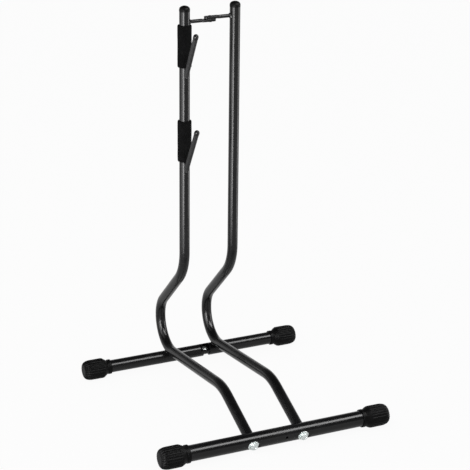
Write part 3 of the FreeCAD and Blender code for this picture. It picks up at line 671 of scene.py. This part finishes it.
class RACK_OT_feet(bpy.types.Operator):
    """Model the four ribbed feet"""

    bl_idname = "rack.feet"
    bl_label = "Feet"

    steps_per_rib = 10
    pitch = 2.2 * MM
    fit = 0.15 * MM
    round_reach = 1.56  # how far a rounding runs along its sides, for each millimetre of its radius
    # flutes: start before the barrel, run in over, run out over, and the depth of the end they wrap
    flute_lead, flute_in, flute_out, end_depth = 1.5 * MM, 3 * MM, 3.5 * MM, 4 * MM
    # of the radius: the smooth middle, and where the flutes begin to narrow towards it
    smooth_share, even_share = 0.56, 0.7

    def execute(self, context):
        sizes = context.scene.rack_sizes
        for which, bar in (("front", "front_bar"), ("rear", "rear_bar_left")):
            for side, sign in SIDES.items():
                node = f"{which}_{side}_foot"
                low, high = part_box(node)
                bar_low, bar_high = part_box(bar)
                bar_radius = (bar_high.z - bar_low.z) / 2
                centre = Vector((low.x if sign > 0 else high.x, (low.y + high.y) / 2,
                                 (bar_low.z + bar_high.z) / 2))
                radius = (high.y - low.y) / 2
                form = self.cap(high.x - low.x, radius, bar_radius, sizes)
                turned_out = Matrix.Translation(centre) @ Matrix.Rotation(math.radians(90) * sign, 4, "Y")
                bmesh.ops.transform(form, matrix=turned_out, verts=form.verts)
                for vertex in form.verts:
                    vertex.co.z = max(vertex.co.z, low.z)
                sharpen(new_piece(f"ribbed_{node}", form, "foot_plastic", node), degrees=60)
        return {"FINISHED"}

    def cap(self, reach, radius, bar_radius, sizes):
        """A cap along +Z from its open end, with flutes that run over its rounded end."""
        collar, groove = bar_radius + sizes.collar_rise, bar_radius + sizes.groove_rise
        bore = bar_radius + self.fit
        groove_start = sizes.collar_length
        shoulder_start = groove_start + sizes.groove_length
        barrel = shoulder_start + sizes.shoulder_length
        soft = 2 * sizes.edge_round
        inside = reach - sizes.foot_wall
        line = eased([
            (inside / 2, bore, 0), (0, bore, soft / 2), (0, collar, soft), (groove_start, collar, soft),
            (groove_start, groove, soft / 2), (shoulder_start, groove, soft), (barrel, radius, 3 * soft),
            (reach, radius, sizes.foot_round * self.round_reach), (reach, 0, 0), (inside, 0, 0),
            (inside, bore, 0), (inside / 2, bore, 0),
        ], steps=8)
        form = turned(divided(line[:-1], self.pitch), sizes.rib_count * self.steps_per_rib, closed=True)
        self.flute(form, reach, barrel, radius, bore, sizes)
        return form

    def flute(self, form, reach, barrel, radius, bore, sizes):
        """Sink the flutes between the ribs, along the surface's own normals."""
        depth_at_edge = sizes.flute_radius - sizes.flute_depth
        inner = radius * self.smooth_share
        first = barrel - self.flute_lead
        sector = math.tau / sizes.rib_count
        moves = []
        for vertex in form.verts:
            place = vertex.co
            off = math.hypot(place.x, place.y)
            outside = vertex.normal.dot(Vector((place.x, place.y, place.z - reach / 2))) > 0
            in_bore = off <= bore and place.z < reach - self.end_depth
            if place.z < first or not outside or off < inner or in_bore:
                continue
            start = min(1, max(0, (place.z - first) / self.flute_in))
            end = min(1, max(0, (off - inner) / self.flute_out))
            turned_by = math.atan2(place.y, place.x) % sector - sector / 2
            across = turned_by * max(off, radius * self.even_share)
            width = sizes.flute_radius ** 2 - across ** 2
            sunk = max(0, math.sqrt(max(0, width)) - depth_at_edge)
            moves.append((vertex, vertex.normal * (-sunk * start * end)))
        for vertex, move in moves:
            vertex.co += move
        form.normal_update()


class RACK_OT_link(bpy.types.Operator):
    """Model the two link rods with their flattened eyes, and paint the rivet"""

    bl_idname = "rack.link"
    bl_label = "Link between the uprights"

    round_steps = 32
    along_steps = 9
    eye_root = 14 * MM
    last_turn = math.radians(88)
    squareness = 4

    def execute(self, context):
        sizes = context.scene.rack_sizes
        for side, sign in SIDES.items():
            node = f"{side}_link_rod"
            low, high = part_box(node)
            start = low.x if sign < 0 else high.x
            tip = high.x if sign < 0 else low.x
            form = ringed(self.rings(start, tip, (high.y - low.y) / 2, middle(node), sign, sizes))
            sharpen(new_piece(f"swaged_{node}", form, "black_paint", node), degrees=50)
        finish_node("link_rivet", "black_paint")
        return {"FINISHED"}

    def rings(self, start, tip, half_width, centre, outer, sizes):
        """Rings of a rod pressed flat into an eye with a round end; outer is -1 where its back is below."""
        inner_face = abs(middle("left_link_rod").z - middle("right_link_rod").z) / 2
        faces = (sizes.eye_back, inner_face) if outer < 0 else (inner_face, sizes.eye_back)
        towards = 1 if tip > start else -1
        root = -towards * self.eye_root
        swage = root - towards * sizes.swage_length
        eye_centre = tip - towards * half_width
        stations = [(start, 0)]
        stations += [(swage + (root - swage) * step / self.along_steps, step / self.along_steps)
                     for step in range(self.along_steps + 1)]
        made = []
        for place, share in stations:
            smooth = share * share * (3 - 2 * share)
            wide = sizes.rod_radius + (half_width - sizes.rod_radius) * smooth
            below, above = (sizes.rod_radius + (face - sizes.rod_radius) * smooth for face in faces)
            made.append(self.ring(place, wide, below, above, smooth, centre))
        for step in range(self.along_steps + 1):
            angle = self.last_turn * step / self.along_steps
            place = eye_centre + towards * half_width * math.sin(angle)
            made.append(self.ring(place, half_width * math.cos(angle), *faces, 1, centre))
        return made

    def ring(self, place, wide, below, above, flatness, centre):
        """A ring across the rod: round where flatness is 0, a soft rectangle where it is 1."""
        power = 2 / (2 + self.squareness * flatness)
        points = []
        for step in range(self.round_steps):
            angle = math.tau * step / self.round_steps
            across, up = math.cos(angle), math.sin(angle)
            high = above if up > 0 else below
            points.append(Vector((place, centre.y + wide * math.copysign(abs(across) ** power, across),
                                  centre.z + high * math.copysign(abs(up) ** power, up))))
        return points


def hook_line(which, sizes):
    """Where a hook's rod starts and which way it points, from its tip and its lean."""
    low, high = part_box(f"{which}_hook_tip")
    lean = sizes.upper_lean if which == "upper" else sizes.lower_lean
    way = Vector((0, -math.sin(lean), math.cos(lean)))
    tip_radius = (high.x - low.x) / 2
    centre_of_end = Vector(((low.x + high.x) / 2, low.y + tip_radius, high.z - tip_radius))
    return centre_of_end, way, tip_radius


class RACK_OT_hooks(bpy.types.Operator):
    """Coat the hooks' rods and model their dipped tips"""

    bl_idname = "rack.hooks"
    bl_label = "Hooks"

    rod_fit = 0.05 * MM
    mouth, lip_at, lip_ends = -0.2 * MM, 1.2 * MM, 3.5 * MM
    lip_round = 1.2 * MM
    closed_end = 4.5 * MM
    dome_steps = 10

    def execute(self, context):
        sizes = context.scene.rack_sizes
        for which in LEVELS:
            finish_node(f"{which}_hook", "hook_coating")
            end, way, radius = hook_line(which, sizes)
            bore = sizes.hook_radius + self.rod_fit
            length_to_end = sizes.tip_length - radius
            line = eased([
                (0, bore, 0), (self.mouth, radius, sizes.edge_round),
                (self.lip_at, radius + sizes.tip_lip, self.lip_round),
                (self.lip_ends, radius, self.lip_round), (length_to_end, radius, 0),
            ])
            line += dome(length_to_end, radius, radius, self.dome_steps)
            bottom = sizes.tip_length - self.closed_end
            line += [Vector((sizes.tip_length, 0)), Vector((bottom, 0)), Vector((bottom, bore))]
            form = turned(line, sizes.turn_steps, closed=True)
            leaning = way.to_track_quat("Z", "Y").to_matrix().to_4x4()
            place = Matrix.Translation(end - way * length_to_end) @ leaning
            bmesh.ops.transform(form, matrix=place, verts=form.verts)
            sharpen(new_piece(f"dipped_{which}_hook_tip", form, "vinyl", f"{which}_hook_tip"), degrees=60)
        return {"FINISHED"}


class RACK_OT_foam_sleeves(bpy.types.Operator):
    """Model the two foam sleeves, pressed in where the hooks start"""

    bl_idname = "rack.foam_sleeves"
    bl_label = "Foam sleeves"

    round_steps = 96
    pitch = 1.6 * MM
    wave_size = 60
    bore_round = 0.6 * MM
    skin = 0.5 * MM
    least_wall = 0.25 * MM
    tries, press_share = 12, 0.6

    def execute(self, context):
        sizes = context.scene.rack_sizes
        for which in LEVELS:
            node = f"{which}_foam_sleeve"
            low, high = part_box(node)
            radius = (high.x - low.x) / 2
            tube_low, tube_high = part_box("left_bent_tube")
            bore = (tube_high.x - tube_low.x) / 2 + sizes.foam_clearance
            span = high.z - low.z
            soft = sizes.foam_round
            line = eased([(span / 2, bore, 0), (0, bore, self.bore_round), (0, radius, soft),
                          (span, radius, soft), (span, bore, self.bore_round), (span / 2, bore, 0)], steps=6)
            form = turned(divided(line[:-1], self.pitch), self.round_steps, closed=True)
            axis = Vector(((low.x + high.x) / 2, high.y - radius, low.z))
            bmesh.ops.translate(form, vec=axis, verts=form.verts)
            self.soften(form, axis, bore, which, sizes)
            piece = new_piece(f"soft_{node}", tidy(form), "foam", node)
        return {"FINISHED"}

    def soften(self, form, axis, bore, which, sizes):
        """Give a sleeve its unevenness, and press it back from the hook's rod."""
        end, way, _ = hook_line(which, sizes)
        clear = sizes.hook_radius + sizes.foam_clearance
        for vertex in form.verts:
            out = Vector((vertex.co.x - axis.x, vertex.co.y - axis.y, 0))
            if out.length < bore + self.skin:
                continue
            wave = noise.noise(vertex.co * self.wave_size) * sizes.foam_wave
            vertex.co += out.normalized() * (wave - sizes.foam_wave / 2)
            for _ in range(self.tries):
                off = vertex.co - end
                off -= way * off.dot(way)
                if off.length >= clear:
                    break
                vertex.co -= out.normalized() * (clear - off.length) * self.press_share
            reach = Vector((vertex.co.x - axis.x, vertex.co.y - axis.y))
            if reach.length < bore + self.least_wall:
                reach = reach.normalized() * (bore + self.least_wall)
                vertex.co.x, vertex.co.y = axis.x + reach.x, axis.y + reach.y


class RACK_OT_tube_plugs(bpy.types.Operator):
    """Model the domed plugs of the uprights"""

    bl_idname = "rack.tube_plugs"
    bl_label = "Tube plugs"

    stem_gap = 1.3 * MM
    dome_steps = 9
    dome_foot = 0.05  # the straight foot of the dome, as a share of its height

    def execute(self, context):
        sizes = context.scene.rack_sizes
        for side in SIDES:
            node = f"{side}_tube_plug"
            low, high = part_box(node)
            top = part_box(f"{side}_bent_tube")[1].z
            rim = (high.x - low.x) / 2
            stem = rim - sizes.plug_overhang - self.stem_gap
            rim_top = top + sizes.plug_rim
            height, radius = high.z - rim_top, rim - sizes.plug_overhang
            soft = sizes.edge_round
            line = eased([
                (low.z, 0, 0), (low.z, stem, soft), (top, stem, 0), (top, rim, soft / 2),
                (rim_top, rim, soft), (rim_top, radius, soft / 2),
                (rim_top + height * self.dome_foot, radius, 0),
            ])
            line += dome(rim_top, radius, height, self.dome_steps) + [Vector((high.z, 0))]
            form = turned(line, sizes.turn_steps)
            centre = middle(node)
            bmesh.ops.translate(form, vec=(centre.x, centre.y, 0), verts=form.verts)
            sharpen(new_piece(f"domed_{node}", form, "plug_plastic", node), degrees=50)
        return {"FINISHED"}


class RACK_OT_weld_beads(bpy.types.Operator):
    """Ripple the weld beads"""

    bl_idname = "rack.weld_beads"
    bl_label = "Weld beads"

    link_bead_radius = 4 * MM

    def execute(self, context):
        sizes = context.scene.rack_sizes
        # each bead with the axis that its ripples follow; 1 stands for round the rod
        beads = [(f"{side}_rear_weld", 0) for side in SIDES] + [(f"{side}_link_weld", 1) for side in SIDES]
        beads += [(f"{which}_hook_weld", 2) for which in LEVELS]
        for node, along in beads:
            form = copied(node)
            centre = middle(node)
            for vertex in form.verts:
                place = vertex.co - centre
                round_rod = math.atan2(place.z, place.y) * self.link_bead_radius
                step = round_rod if along == 1 else place[along]
                ripple = abs(math.sin(math.pi * step / sizes.ripple_pitch))
                vertex.co += vertex.normal * (sizes.ripple_height * (ripple - 0.5))
            new_piece(f"rippled_{node}", tidy(form), "black_paint", node)
        return {"FINISHED"}


# ---------------- studio
class RACK_OT_studio(bpy.types.Operator):
    """Make the floor, the light and the camera"""

    bl_idname = "rack.studio"
    bl_label = "Studio"

    # degrees over the horizon at which the studio is white, has the back wall's level and the ceiling's
    sky_heights = (8.5, 12, 50)
    aim_height = 0.3
    # name, azimuth in degrees, distance, height of the middle, width, height, brightness, lights dull too
    cards = (
        ("side_card", -50.0, 0.78, 0.34, 0.26, 0.66, 17.0, False),
        ("far_side_card", -80.0, 0.78, 0.34, 0.50, 0.66, 4.5, False),
        ("rim_card", 82.0, 0.80, 0.34, 0.30, 0.66, 4.5, False),
        ("top_card", 40.0, 1.40, 2.10, 2.20, 0.75, 13.0, False),
        ("soft_box", -60.0, 1.60, 2.40, 1.60, 1.60, 1.5, True),
    )

    def execute(self, context):
        studio = context.scene.rack_studio
        self.floor(studio)
        self.world(context.scene, studio)
        for card in self.cards:
            self.card(*card)
        self.camera(context.scene, studio)
        context.scene.view_settings.view_transform = "Standard"
        return {"FINISHED"}

    def seen(self, tree, reflected=1):
        """A mask of the rays that see the background: camera, transmission and, by a share, glossy rays."""
        rays = tree.nodes.new("ShaderNodeLightPath").outputs
        straight = maths(tree, "MAXIMUM", rays["Is Camera Ray"], rays["Is Transmission Ray"])
        mirrored = maths(tree, "MULTIPLY", rays["Is Glossy Ray"], reflected)
        return maths(tree, "MAXIMUM", straight, mirrored)

    def floor(self, studio):
        """A plain floor that is white to the camera and still takes a shadow."""
        form = bmesh.new()
        bmesh.ops.create_grid(form, x_segments=1, y_segments=1, size=studio.floor_width / 2)
        mesh = bpy.data.meshes.new("floor")
        form.to_mesh(mesh)
        form.free()
        material = bpy.data.materials.new("pale_floor")
        material.use_nodes = True
        tree = material.node_tree
        matte = tree.nodes["Principled BSDF"]
        matte.inputs["Base Color"].default_value = (*studio.floor, 1)
        matte.inputs["Roughness"].default_value = 0.95
        matte.inputs["Specular IOR Level"].default_value = 0
        white = add_node(tree, "ShaderNodeEmission", Strength=1)
        share = maths(tree, "MULTIPLY", self.seen(tree, studio.floor_mirrored), studio.floor_glow)
        blend = tree.nodes.new("ShaderNodeMixShader")
        tree.links.new(share, blend.inputs[0])
        tree.links.new(matte.outputs[0], blend.inputs[1])
        tree.links.new(white.outputs[0], blend.inputs[2])
        tree.links.new(blend.outputs[0], tree.nodes["Material Output"].inputs["Surface"])
        mesh.materials.append(material)
        floor = bpy.data.objects.new("floor", mesh)
        bpy.context.scene.collection.objects.link(floor)

    def world(self, scene, studio):
        """White up to a little over the horizon, and a dark studio above."""
        world = bpy.data.worlds.new("studio")
        scene.world = world
        world.use_nodes = True
        tree = world.node_tree
        tree.nodes.clear()
        way = tree.nodes.new("ShaderNodeTexCoord")
        parts = tree.nodes.new("ShaderNodeSeparateXYZ")
        fade = tree.nodes.new("ShaderNodeValToRGB")
        stops = fade.color_ramp.elements
        white_up_to, wall, overhead = (math.sin(math.radians(height)) for height in self.sky_heights)
        stops[1].position = overhead
        stops[0].position = white_up_to
        stops.new(wall)
        for stop, level in zip(stops, (1, studio.back_wall, studio.ceiling)):
            stop.color = (level, level, level, 1)
        backdrop = add_node(tree, "ShaderNodeBackground")
        light = add_node(tree, "ShaderNodeBackground", Strength=studio.sky)
        light.inputs["Color"].default_value = (1, 1, 1, 1)
        blend = tree.nodes.new("ShaderNodeMixShader")
        output = tree.nodes.new("ShaderNodeOutputWorld")
        tree.links.new(way.outputs["Generated"], parts.inputs[0])
        tree.links.new(parts.outputs["Z"], fade.inputs[0])
        tree.links.new(fade.outputs[0], backdrop.inputs["Color"])
        tree.links.new(self.seen(tree), blend.inputs[0])
        tree.links.new(light.outputs[0], blend.inputs[1])
        tree.links.new(backdrop.outputs[0], blend.inputs[2])
        tree.links.new(blend.outputs[0], output.inputs["Surface"])

    def card(self, name, azimuth, distance, middle_height, width, height, brightness, dull_too):
        """A bright card that faces the uprights."""
        lamp = bpy.data.lights.new(name, "AREA")
        lamp.shape = "RECTANGLE"
        lamp.size, lamp.size_y = width, height
        lamp.energy = brightness * math.pi * width * height
        card = bpy.data.objects.new(name, lamp)
        bpy.context.scene.collection.objects.link(card)
        angle = math.radians(azimuth)
        target = Vector((0, 0, min(middle_height, self.aim_height)))
        card.location = Vector((math.sin(angle) * distance, -math.cos(angle) * distance, middle_height))
        card.rotation_euler = (target - card.location).to_track_quat("-Z", "Y").to_euler()
        card.visible_camera = False
        card.visible_diffuse = dull_too

    def camera(self, scene, studio):
        """The camera of the photograph's view."""
        azimuth, elevation, roll = studio.azimuth, studio.elevation, studio.roll
        right = Vector((math.cos(azimuth), math.sin(azimuth), 0))
        back = Vector((math.sin(azimuth) * math.cos(elevation), -math.cos(azimuth) * math.cos(elevation),
                       math.sin(elevation)))
        up = back.cross(right)
        across = right * math.cos(roll) + up * math.sin(roll)
        above = up * math.cos(roll) - right * math.sin(roll)
        turned_axes = Matrix((across, above, back)).transposed().to_4x4()
        camera = bpy.data.objects.new("camera", bpy.data.cameras.new("camera"))
        camera.data.lens = studio.lens
        camera.data.sensor_width = 36
        camera.matrix_world = Matrix.Translation(studio.camera_place) @ turned_axes
        scene.collection.objects.link(camera)
        scene.camera = camera


# ---------------- the add-on
OPERATORS = (
    RACK_OT_finishes, RACK_OT_bent_tubes, RACK_OT_front_bar, RACK_OT_rear_bar, RACK_OT_bolts,
    RACK_OT_feet, RACK_OT_link, RACK_OT_hooks, RACK_OT_foam_sleeves, RACK_OT_tube_plugs,
    RACK_OT_weld_beads, RACK_OT_studio,
)


class RACK_PT_build(bpy.types.Panel):
    """The steps that dress the rack"""

    bl_label = "Floor bike rack"
    bl_space_type = "VIEW_3D"
    bl_region_type = "UI"
    bl_category = "Rack"

    def draw(self, context):
        for operator in OPERATORS:
            self.layout.operator(operator.bl_idname)


SETTINGS = {"rack_sizes": RackSizes, "rack_finishes": RackFinishes, "rack_studio": RackStudio}
CLASSES = (*SETTINGS.values(), *OPERATORS, RACK_PT_build)


def register():
    for item in CLASSES:
        bpy.utils.register_class(item)
    for name, group in SETTINGS.items():
        setattr(bpy.types.Scene, name, PointerProperty(type=group))


def unregister():
    for name in SETTINGS:
        delattr(bpy.types.Scene, name)
    for item in reversed(CLASSES):
        bpy.utils.unregister_class(item)


def main():
    register()
    for operator in OPERATORS:
        step = operator.bl_idname.split(".")[1]
        getattr(bpy.ops.rack, step)()


if __name__ == "__main__":
    main()
